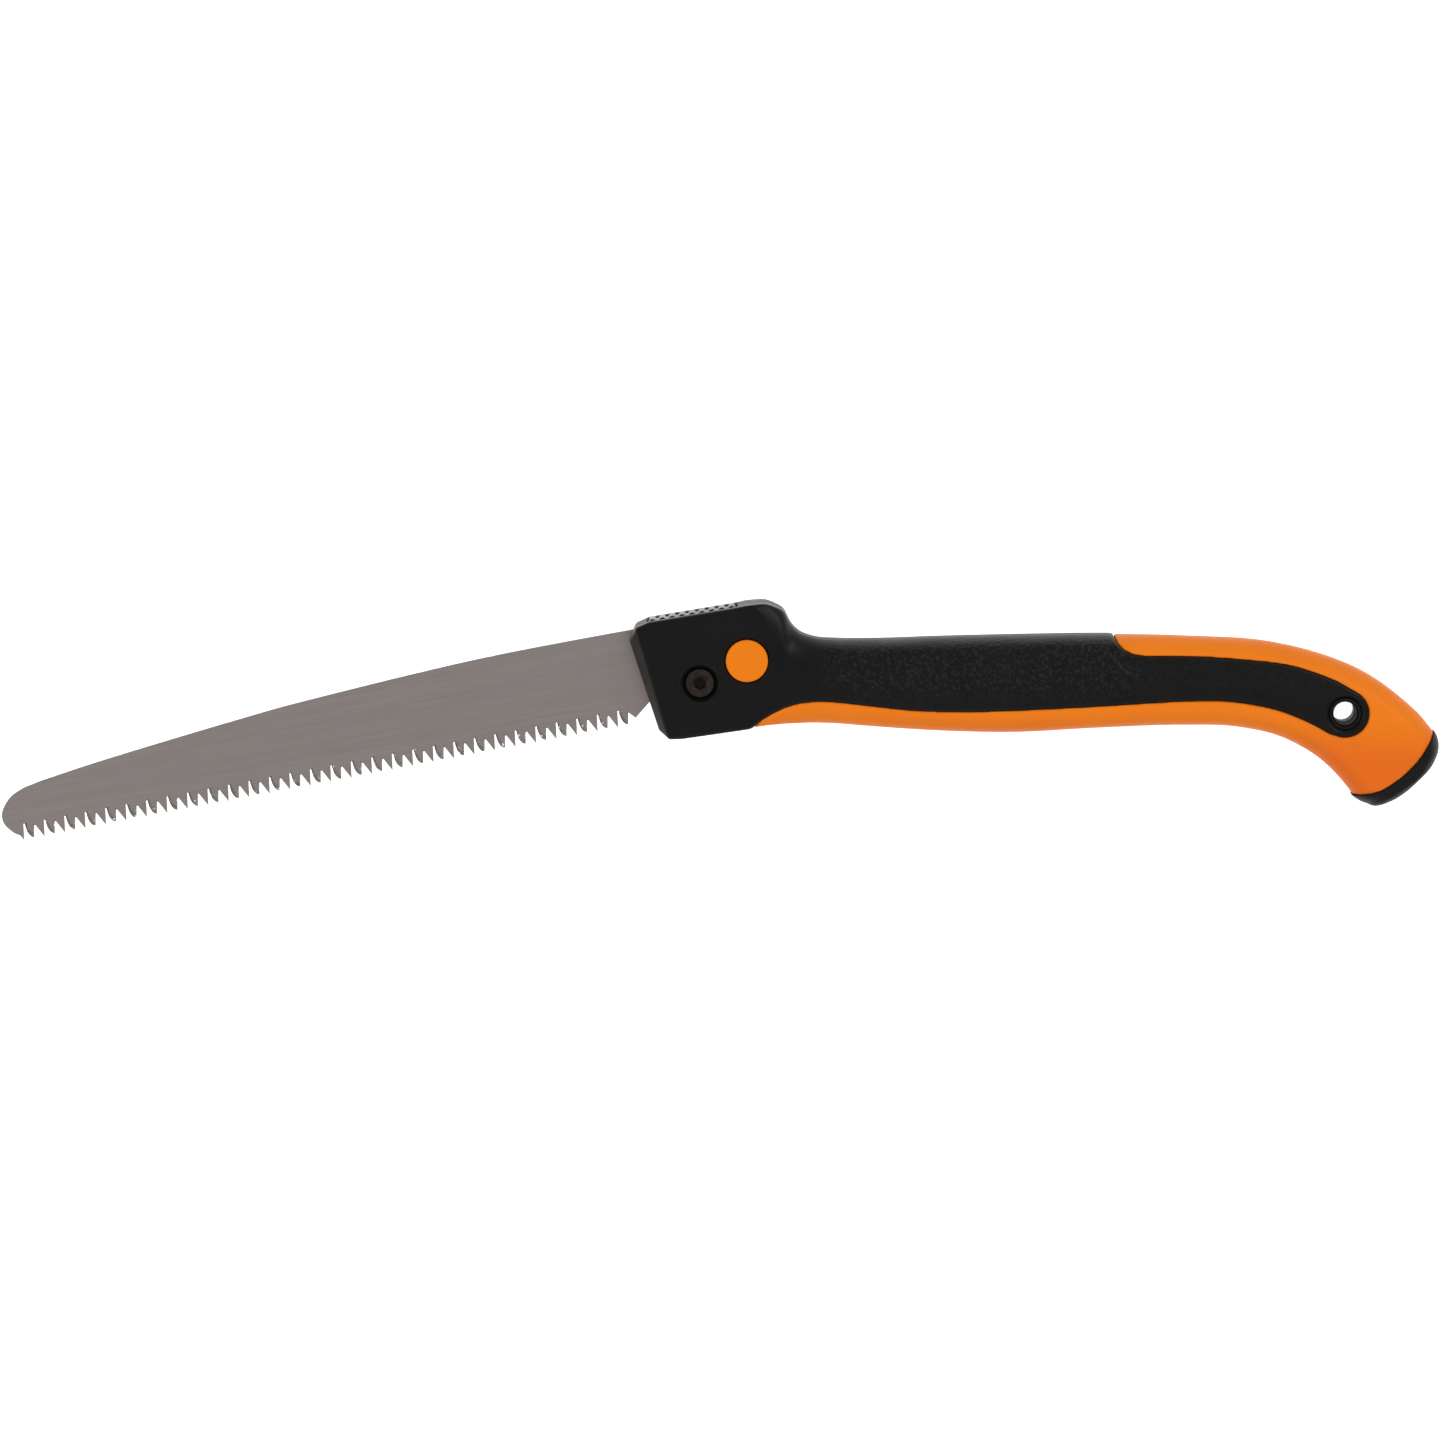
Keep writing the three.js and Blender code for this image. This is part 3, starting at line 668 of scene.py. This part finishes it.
# ---------------------------------------------------------------- small parts
def pivot_bolt_piece():
    profile = [(0, -13), (2.6, -13), (3, -12.6), (3, 9.8), (6, 9.8), (6, 11.6), (5.9, 12.1), (5.5, 12.5),
               (4.9, 12.6), (3.3, 12.6), (2.9, 12.3), (0, 12.3)]
    obj = turned("pivot_bolt_turned", (0, 0), profile)
    combine(obj, rod((0, 0), HEX_RADIUS, 8.4, OUT, 6, HEX_PHASE))
    bevelled(obj, 0.12, 2, 40)
    return obj


def pivot_nut_piece():
    obj = rod((0, 0), 5.8, -12.4, -8.9, 6, HEX_PHASE)
    profile = [(0, -12.4), (4.9, -12.4), (5.9, -11.8), (5.9, -8.9), (0, -8.9)]
    combine(obj, turned("cone", (0, 0), profile), "INTERSECT")
    combine(obj, rod((0, 0), BOLT_BORE, -OUT, OUT))
    obj.name = "pivot_nut_hex"
    bevelled(obj, 0.15, 2, 30)
    return obj


def nut_washer_piece():
    profile = [(3.4, -8.6), (6.3, -8.6), (6.6, -8.4), (6.6, -8.0), (6.3, -7.8), (3.4, -7.8)]
    obj = turned("nut_washer_ring", (0, 0), profile)
    smooth_by_angle(obj, 30)
    return obj


def button_piece():
    """A hollow cap with a round edge and a slightly dished top."""
    top = 14.9
    edge = 0.8
    profile = [(2.3, 9.6), (BUTTON_RADIUS, 9.6), (BUTTON_RADIUS, top - 1.0)]
    profile += [(7.6 + edge * math.cos(angle), top - edge + edge * math.sin(angle))
                for angle in np.linspace(0.1, math.pi / 2, 7)]
    profile += [(6.9, top - 0.03), (5.5, top - 0.12), (3, top - 0.2), (0, top - 0.22), (0, 12.5),
                (2.3, 12.5)]
    obj = turned("lock_button_cap", LOCK, profile, 128)
    smooth_by_angle(obj, 40)
    return obj


def bush_piece():
    lip = 13.2
    half = [(4.6, 1.0), (4.6, lip - 2.4), (4.75, lip - 1.5), (5.1, lip - 0.7), (5.5, lip - 0.2),
            (5.8, lip - 0.05), (6.15, lip - 0.2), (6.3, lip - 0.5), (6.3, lip - 1.0), (5.6, lip - 1.2)]
    profile = [(4.35, 0.0), (4.45, 0.7), *half, *[(r, -z) for r, z in reversed(half)], (4.45, -0.7)]
    obj = turned("lanyard_bush_ring", LANYARD, profile)
    smooth_by_angle(obj, 50)
    return obj


def thumb_rest_piece():
    obj = prism("thumb_rest_ribs", thumb_rest_outline(0), -THUMB_HALF, THUMB_HALF)
    bevelled(obj, 0.3, 3, 25)
    return obj


def screw_piece(index, place):
    """A pan-head screw with a cross recess, its head towards the rear."""
    seat = -9.3
    low = seat - 2.2
    profile = [(0, low), (1.6, low), (2.4, low + 0.25), (2.8, low + 0.6), (3, low + 1.1), (3, seat),
               (1.5, seat), (1.5, 5.6), (0, 7)]
    obj = turned(f"core_screw_head_{index}", place, profile, 48)
    for wide, tall in ((1.9, 0.4), (0.4, 1.9)):
        x, y = place
        outline = [(x - wide, y - tall), (x + wide, y - tall),
                   (x + wide, y + tall), (x - wide, y + tall)]
        combine(obj, prism("bar", outline, -OUT, low + 1.3))
    bevelled(obj, 0.08, 2, 40)
    return obj


# ---------------------------------------------------------------- materials
class Nodes:
    """A short way to write a material's nodes."""

    def __init__(self, name):
        self.material = bpy.data.materials.new(name)
        self.material.use_nodes = True
        self.tree = self.material.node_tree
        self.shader = self.tree.nodes["Principled BSDF"]
        self.place = self.new("ShaderNodeTexCoord").outputs["Object"]

    def new(self, kind, **settings):
        node = self.tree.nodes.new(kind)
        for key, value in settings.items():
            setattr(node, key, value)
        return node

    def link(self, source, target):
        self.tree.links.new(source, target)

    def set(self, **values):
        for key, value in values.items():
            self.shader.inputs[key.replace("_", " ")].default_value = value

    def stretched(self, scale, angle=0.0):
        node = self.new("ShaderNodeMapping", vector_type="TEXTURE")
        self.link(self.place, node.inputs["Vector"])
        node.inputs["Rotation"].default_value = (0, 0, angle)
        node.inputs["Scale"].default_value = [1 / value for value in scale]
        return node.outputs["Vector"]

    def noise(self, scale, detail=3.0, roughness=0.5, vector=None):
        node = self.new("ShaderNodeTexNoise")
        node.inputs["Scale"].default_value = scale
        node.inputs["Detail"].default_value = detail
        node.inputs["Roughness"].default_value = roughness
        self.link(vector or self.place, node.inputs["Vector"])
        return node.outputs["Fac"]

    def cells(self, scale):
        node = self.new("ShaderNodeTexVoronoi", feature="SMOOTH_F1")
        node.inputs["Scale"].default_value = scale
        self.link(self.place, node.inputs["Vector"])
        return node.outputs["Distance"]

    def remap(self, value, low, high, to_low, to_high, smooth=False):
        node = self.new("ShaderNodeMapRange")
        node.interpolation_type = "SMOOTHSTEP" if smooth else "LINEAR"
        limits = {"From Min": low, "From Max": high, "To Min": to_low, "To Max": to_high}
        for socket, number in limits.items():
            node.inputs[socket].default_value = number
        self.link(value, node.inputs["Value"])
        return node.outputs["Result"]

    def maths(self, operation, first, second):
        node = self.new("ShaderNodeMath", operation=operation)
        for socket, value in zip(node.inputs, (first, second)):
            if isinstance(value, (int, float)):
                socket.default_value = value
            else:
                self.link(value, socket)
        return node.outputs[0]

    def blend(self, factor, first, second):
        node = self.new("ShaderNodeMix", data_type="RGBA")
        self.link(factor, node.inputs["Factor"])
        for socket, value in zip((node.inputs[6], node.inputs[7]), (first, second)):
            if isinstance(value, tuple):
                socket.default_value = (*value, 1)
            else:
                self.link(value, socket)
        return node.outputs[2]

    def axis(self, name):
        node = self.new("ShaderNodeSeparateXYZ")
        self.link(self.place, node.inputs[0])
        return node.outputs[name]

    def off_middle(self):
        """Distance from the saw's middle plane."""
        return self.maths("ABSOLUTE", self.maths("SUBTRACT", self.axis("Z"), PIVOT.z), 0.0)

    def off_axis(self, centre):
        """Distance from the upright axis through the centre."""
        offset = self.new("ShaderNodeMapping")
        self.link(self.place, offset.inputs["Vector"])
        offset.inputs["Location"].default_value = [-value for value in centre]
        flat = self.new("ShaderNodeVectorMath", operation="MULTIPLY")
        self.link(offset.outputs[0], flat.inputs[0])
        flat.inputs[1].default_value = (1, 1, 0)
        length = self.new("ShaderNodeVectorMath", operation="LENGTH")
        self.link(flat.outputs[0], length.inputs[0])
        return length.outputs["Value"]

    def bump(self, height, distance, strength=1.0, normal=None):
        node = self.new("ShaderNodeBump")
        node.inputs["Strength"].default_value = strength
        node.inputs["Distance"].default_value = distance
        self.link(height, node.inputs["Height"])
        if normal is not None:
            self.link(normal, node.inputs["Normal"])
        return node.outputs["Normal"]

    def colour(self, value):
        self.link(value, self.shader.inputs["Base Color"])

    def roughness(self, value):
        self.link(value, self.shader.inputs["Roughness"])

    def normal(self, value):
        self.link(value, self.shader.inputs["Normal"])


def blade_steel():
    """Steel with streaks along the blade, with painted shade, mottled, and painted highlight flecks where
    the teeth are ground.
    """
    m = Nodes("ground_blade_steel")
    m.set(Metallic=1.0)
    along = m.stretched((45, 2200, 100), BLADE_OPEN)
    fine = m.noise(1.0, 4, 0.6, along)
    broad = m.noise(1.0, 2, 0.5, m.stretched((14, 420, 40), BLADE_OPEN))
    cloud = m.noise(14, 3, 0.55)
    streak = m.maths("ADD", m.maths("MULTIPLY", fine, 0.6), m.maths("MULTIPLY", broad, 0.4))
    shade = m.remap(streak, 0.3, 0.7, 0, 1)
    shade = m.blend(shade, (0.272, 0.239, 0.228), (0.328, 0.291, 0.278))
    shade = m.blend(m.remap(cloud, 0.4, 0.7, 0, 0.4), shade, (0.312, 0.29, 0.28))
    # Painted shade: the teeth's ground faces are coloured darker and mottled.
    ground = m.remap(m.off_middle(), (BLADE_HALF - 0.1) * MM, (BLADE_HALF - 0.01) * MM, 1, 0)
    facet_shade_mottle = m.remap(m.noise(1100, 3, 0.65), 0.35, 0.62, 0, 1)
    # Painted highlights: small near-white flecks on the ground faces.
    painted_glints = m.remap(m.noise(640, 2, 0.5), 0.62, 0.68, 0, 1)
    painted_facet_shade_and_glints = m.blend(facet_shade_mottle, (0.12, 0.11, 0.103), (0.27, 0.245, 0.232))
    painted_facet_shade_and_glints = m.blend(painted_glints, painted_facet_shade_and_glints, (0.9, 0.89, 0.87))
    m.colour(m.blend(ground, shade, painted_facet_shade_and_glints))
    m.roughness(m.remap(fine, 0.3, 0.7, 0.36, 0.46))
    m.normal(m.bump(fine, 0.00002, 0.3))
    return m.material


def black_overmould():
    """Soft black with pebbles on the grip's sides, painted highlights as pale specks on them that thin out
    lower down, and a painted reflection as a lighter tone on the head's front chamfer.
    """
    m = Nodes("black_soft_overmould")
    x = m.axis("X")
    y = m.axis("Y")
    grip_start = PIVOT.x + 40 * MM
    strip_start = PIVOT.x + 162 * MM
    behind_head = m.remap(x, grip_start, grip_start + 22 * MM, 0, 1, smooth=True)
    sides = m.remap(m.off_middle(), 6 * MM, 10 * MM, 0, 1, smooth=True)
    before_strip = m.remap(x, strip_start, strip_start + 20 * MM, 1, 0.3)
    mask = m.maths("MULTIPLY", m.maths("MULTIPLY", behind_head, sides), before_strip)
    pebbles = m.maths("MULTIPLY", m.remap(m.cells(820), 0.1, 0.75, 1, 0), mask)
    fine = m.noise(2600, 2, 0.5)
    cloud = m.noise(60, 3, 0.6)
    shade = m.remap(cloud, 0.35, 0.7, 0, 1)
    shade = m.blend(shade, (0.0032, 0.003, 0.003), (0.005, 0.0047, 0.0047))
    # Painted highlights: pale specks on the pebbled sides, fewer lower down.
    upper = m.remap(y, PIVOT.y - 10 * MM, PIVOT.y + 2 * MM, 0.15, 1, smooth=True)
    painted_pebble_highlights = m.maths("MULTIPLY", m.remap(m.cells(760), 0.14, 0.44, 1, 0), mask)
    shade = m.blend(m.maths("MULTIPLY", painted_pebble_highlights, upper), shade, (0.017, 0.0165, 0.0165))
    # Painted reflection: a lighter, cloudy tone along the head's front chamfer.
    ahead_x, ahead_y = -0.958, -0.287
    ahead = m.maths("ADD", m.maths("MULTIPLY", x, ahead_x), m.maths("MULTIPLY", y, ahead_y))
    edge = ahead_x * (PIVOT.x - 25.6 * MM) + ahead_y * (PIVOT.y + 22.1 * MM)
    chamfer = m.remap(ahead, edge, edge + 0.4 * MM, 0, 1)
    painted_chamfer_reflection = m.maths("MULTIPLY", chamfer, m.remap(cloud, 0.3, 0.6, 0.6, 1))
    m.colour(m.blend(painted_chamfer_reflection, shade, (0.034, 0.029, 0.026)))
    m.roughness(m.remap(cloud, 0.3, 0.7, 0.38, 0.46))
    m.set(Specular_IOR_Level=0.15)
    grain = m.bump(fine, 0.00002, 0.35)
    m.normal(m.bump(pebbles, 0.00016, 0.9, grain))
    return m.material


def black_plastic(name, rough):
    m = Nodes(name)
    cloud = m.noise(90, 3, 0.6)
    shade = m.remap(cloud, 0.35, 0.7, 0, 1)
    m.colour(m.blend(shade, (0.0045, 0.0042, 0.0042), (0.0075, 0.007, 0.007)))
    m.roughness(m.remap(cloud, 0.3, 0.7, rough - 0.05, rough + 0.05))
    m.set(Specular_IOR_Level=0.15)
    m.normal(m.bump(m.noise(2200, 2, 0.5), 0.00002, 0.4))
    return m.material


def orange_plastic(name, bright, deep, hook_shade):
    """Satin orange, with painted shade: darker and deeper low on the hooked end."""
    m = Nodes(name)
    cloud = m.noise(26, 2, 0.5)
    speck = m.noise(900, 2, 0.5)
    tone = m.blend(m.remap(cloud, 0.3, 0.7, 0, 1), bright, deep)
    # Painted shade: the colour turns darker towards the bottom of the hooked end.
    low = m.remap(m.axis("Y"), PIVOT.y - 34 * MM, PIVOT.y - 12 * MM, 0.8, 0, smooth=True)
    tone = m.blend(low, tone, hook_shade)
    m.colour(m.blend(m.remap(speck, 0.62, 0.75, 0, 0.12), tone, (0.55, 0.12, 0.008)))
    m.roughness(m.remap(speck, 0.3, 0.7, 0.38, 0.46))
    m.set(Specular_IOR_Level=0.06)
    m.normal(m.bump(m.noise(1800, 3, 0.6), 0.00002, 0.35))
    return m.material


def metal(name, dark, light, rough, metallic=1.0, rings=False, socket=None):
    """Grained metal, with turning rings round the pivot and, where asked for, painted shade: near black
    inside the socket.
    """
    m = Nodes(name)
    m.set(Metallic=metallic)
    grain = m.noise(700, 4, 0.6)
    if rings:
        ripple = m.maths("SINE", m.maths("MULTIPLY", m.off_axis(PIVOT), 26000), 0.0)
        grain = m.maths("ADD", m.maths("MULTIPLY", ripple, 0.12), grain)
    colour = m.blend(m.remap(grain, 0.3, 0.7, 0, 1), dark, light)
    if socket is not None:
        # Painted shade: near black within the socket's radius.
        painted_recess_shade = m.remap(m.off_axis(PIVOT), (socket - 0.15) * MM, (socket + 0.05) * MM, 1, 0)
        colour = m.blend(painted_recess_shade, colour, (0.003, 0.002, 0.002))
    m.colour(colour)
    m.roughness(m.remap(grain, 0.3, 0.7, rough - 0.06, rough + 0.08))
    m.normal(m.bump(grain, 0.00003, 0.4))
    return m.material


def nylon():
    m = Nodes("natural_nylon")
    cloud = m.noise(300, 3, 0.5)
    m.colour(m.blend(cloud, (0.62, 0.58, 0.5), (0.72, 0.69, 0.62)))
    m.roughness(m.remap(cloud, 0.3, 0.7, 0.45, 0.6))
    m.normal(m.bump(cloud, 0.00003, 0.3))
    return m.material


def floor_paint():
    m = Nodes("pale_floor")
    cloud = m.noise(3, 2, 0.5)
    m.colour(m.blend(cloud, (0.79, 0.79, 0.79), (0.81, 0.81, 0.81)))
    m.roughness(m.remap(cloud, 0.3, 0.7, 0.75, 0.85))
    m.set(Specular_IOR_Level=0.15, Emission_Color=(1, 1, 1, 1), Emission_Strength=0.95)
    return m.material


def dress(obj, material):
    obj.data.materials.clear()
    obj.data.materials.append(material)
    for polygon in obj.data.polygons:
        polygon.material_index = 0


def dress_cad_node(node, material):
    obj = frame["nodes"][node]
    for slot in obj.material_slots:
        slot.material = material


def stand_for(piece, node, body, material):
    dress(piece, material)
    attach(piece, body)
    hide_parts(node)


# ---------------------------------------------------------------- stage
def build_stage():
    """A white light table that doesn't light the saw's underside."""
    size = 4.0
    corners = [(-size, -size, 0), (size, -size, 0), (size, size, 0), (-size, size, 0)]
    mesh = bpy.data.meshes.new("floor")
    mesh.from_pydata(corners, [], [(0, 1, 2, 3)])
    floor = bpy.data.objects.new("floor", mesh)
    bpy.context.scene.collection.objects.link(floor)
    floor.location.z = -0.0002
    dress(floor, floor_paint())
    floor.visible_diffuse = False


def build_world():
    """A soft grey surround, lighter towards the zenith."""
    world = bpy.data.worlds.new("studio")
    bpy.context.scene.world = world
    world.use_nodes = True
    tree = world.node_tree
    background = tree.nodes["Background"]
    place = tree.nodes.new("ShaderNodeTexCoord")
    split = tree.nodes.new("ShaderNodeSeparateXYZ")
    ramp = tree.nodes.new("ShaderNodeValToRGB")
    tree.links.new(place.outputs["Generated"], split.inputs[0])
    tree.links.new(split.outputs["Z"], ramp.inputs["Fac"])
    tree.links.new(ramp.outputs["Color"], background.inputs["Color"])
    steps = ramp.color_ramp.elements
    steps[0].position = 0.0
    steps[1].position = 1.0
    for position in (0.22, 0.5, 0.8):
        steps.new(position)
    for step, level in zip(steps, (0.5, 0.46, 0.46, 0.54, 0.62)):
        step.color = (level, level, level, 1)
    background.inputs["Strength"].default_value = 1.16


def area_light(name, place, target, size, power):
    data = bpy.data.lights.new(name, "AREA")
    data.shape = "RECTANGLE"
    data.size, data.size_y = size
    data.energy = power
    light = bpy.data.objects.new(name, data)
    bpy.context.scene.collection.objects.link(light)
    light.location = place
    light.rotation_euler = (Vector(target) - Vector(place)).to_track_quat("-Z", "Y").to_euler()


def build_camera():
    """Looks down at the front side, leaning a little towards the spine side, from far away."""
    target = PIVOT + Vector((8.0, -16.0, 0)) * MM
    lean = math.radians(5.8)
    distance = 3.4
    view_width = 0.576
    data = bpy.data.cameras.new("camera")
    data.sensor_width = 36
    data.lens = data.sensor_width * distance / view_width
    data.clip_end = 50
    camera = bpy.data.objects.new("camera", data)
    bpy.context.scene.collection.objects.link(camera)
    back = Vector((0, math.sin(lean), math.cos(lean)))
    right = Vector((1, 0, 0))
    up = back.cross(right)
    turn = Matrix((right, up, back)).transposed().to_4x4()
    camera.matrix_world = Matrix.Translation(target + back * distance) @ turn
    bpy.context.scene.camera = camera


# ---------------------------------------------------------------- the saw
build_camera()
overmould = black_overmould()
cap_plastic = black_plastic("black_cap_plastic", 0.5)
# The third colour is the painted shade low on the hooked end.
orange = orange_plastic("orange_core_plastic", (0.95, 0.235, 0.013), (0.92, 0.22, 0.013),
                        (0.84, 0.15, 0.015))
button_orange = orange_plastic("button_plastic", (0.96, 0.245, 0.009), (0.94, 0.235, 0.009),
                               (0.94, 0.235, 0.009))
zinc = metal("zinc_plated_steel", (0.42, 0.43, 0.45), (0.56, 0.57, 0.6), 0.34, rings=True)
# The pivot bolt's finish gets painted shade inside its hex socket.
pivot_oxide = metal("pivot_black_oxide", (0.016, 0.012, 0.01), (0.038, 0.027, 0.023), 0.3, 0.75,
                    rings=True, socket=2.6)
black_oxide = metal("black_oxide_steel", (0.022, 0.015, 0.012), (0.05, 0.036, 0.03), 0.42, 0.7)
spring_wire = metal("spring_wire", (0.3, 0.3, 0.31), (0.42, 0.42, 0.44), 0.3)

handle = handle_pieces()
finishes = {"front_core": orange, "rear_core": orange, "front_grip": overmould, "rear_grip": overmould,
            "end_cap": cap_plastic}
for node, piece in handle.items():
    stand_for(piece, node, "handle", finishes[node])
stand_for(blade_piece(), "blade", "blade_body", blade_steel())
stand_for(button_piece(), "lock_button", "button_body", button_orange)
stand_for(pivot_bolt_piece(), "pivot_bolt", "handle", pivot_oxide)
stand_for(pivot_nut_piece(), "pivot_nut", "handle", zinc)
stand_for(nut_washer_piece(), "nut_washer", "handle", zinc)
stand_for(bush_piece(), "lanyard_bush", "handle", cap_plastic)
stand_for(thumb_rest_piece(), "thumb_rest", "handle", black_plastic("thumb_rest_rubber", 0.25))
for number, place in enumerate(SCREWS, 1):
    stand_for(screw_piece(number, place), f"core_screw_{number}", "handle", black_oxide)
dress_cad_node("pivot_sleeve", zinc)
dress_cad_node("lock_pin", zinc)
dress_cad_node("lock_spring", spring_wire)
for node in ("front_pivot_washer", "rear_pivot_washer"):
    dress_cad_node(node, nylon())

build_stage()
build_world()
area_light("top_softbox", (0.0, 1.2, 1.1), (0, 0, 0), (2.4, 0.6), 0.7)
area_light("lower_softbox", (0.0, -1.1, 1.1), (0, 0, 0), (2.2, 0.8), 3.7)
area_light("left_softbox", (-1.3, 0.0, 0.9), (0, 0, 0), (0.9, 1.2), 4)
area_light("right_softbox", (1.0, 0.8, 1.0), (0, 0, 0), (0.27, 0.27), 5)
bpy.context.scene.view_settings.view_transform = "Standard"
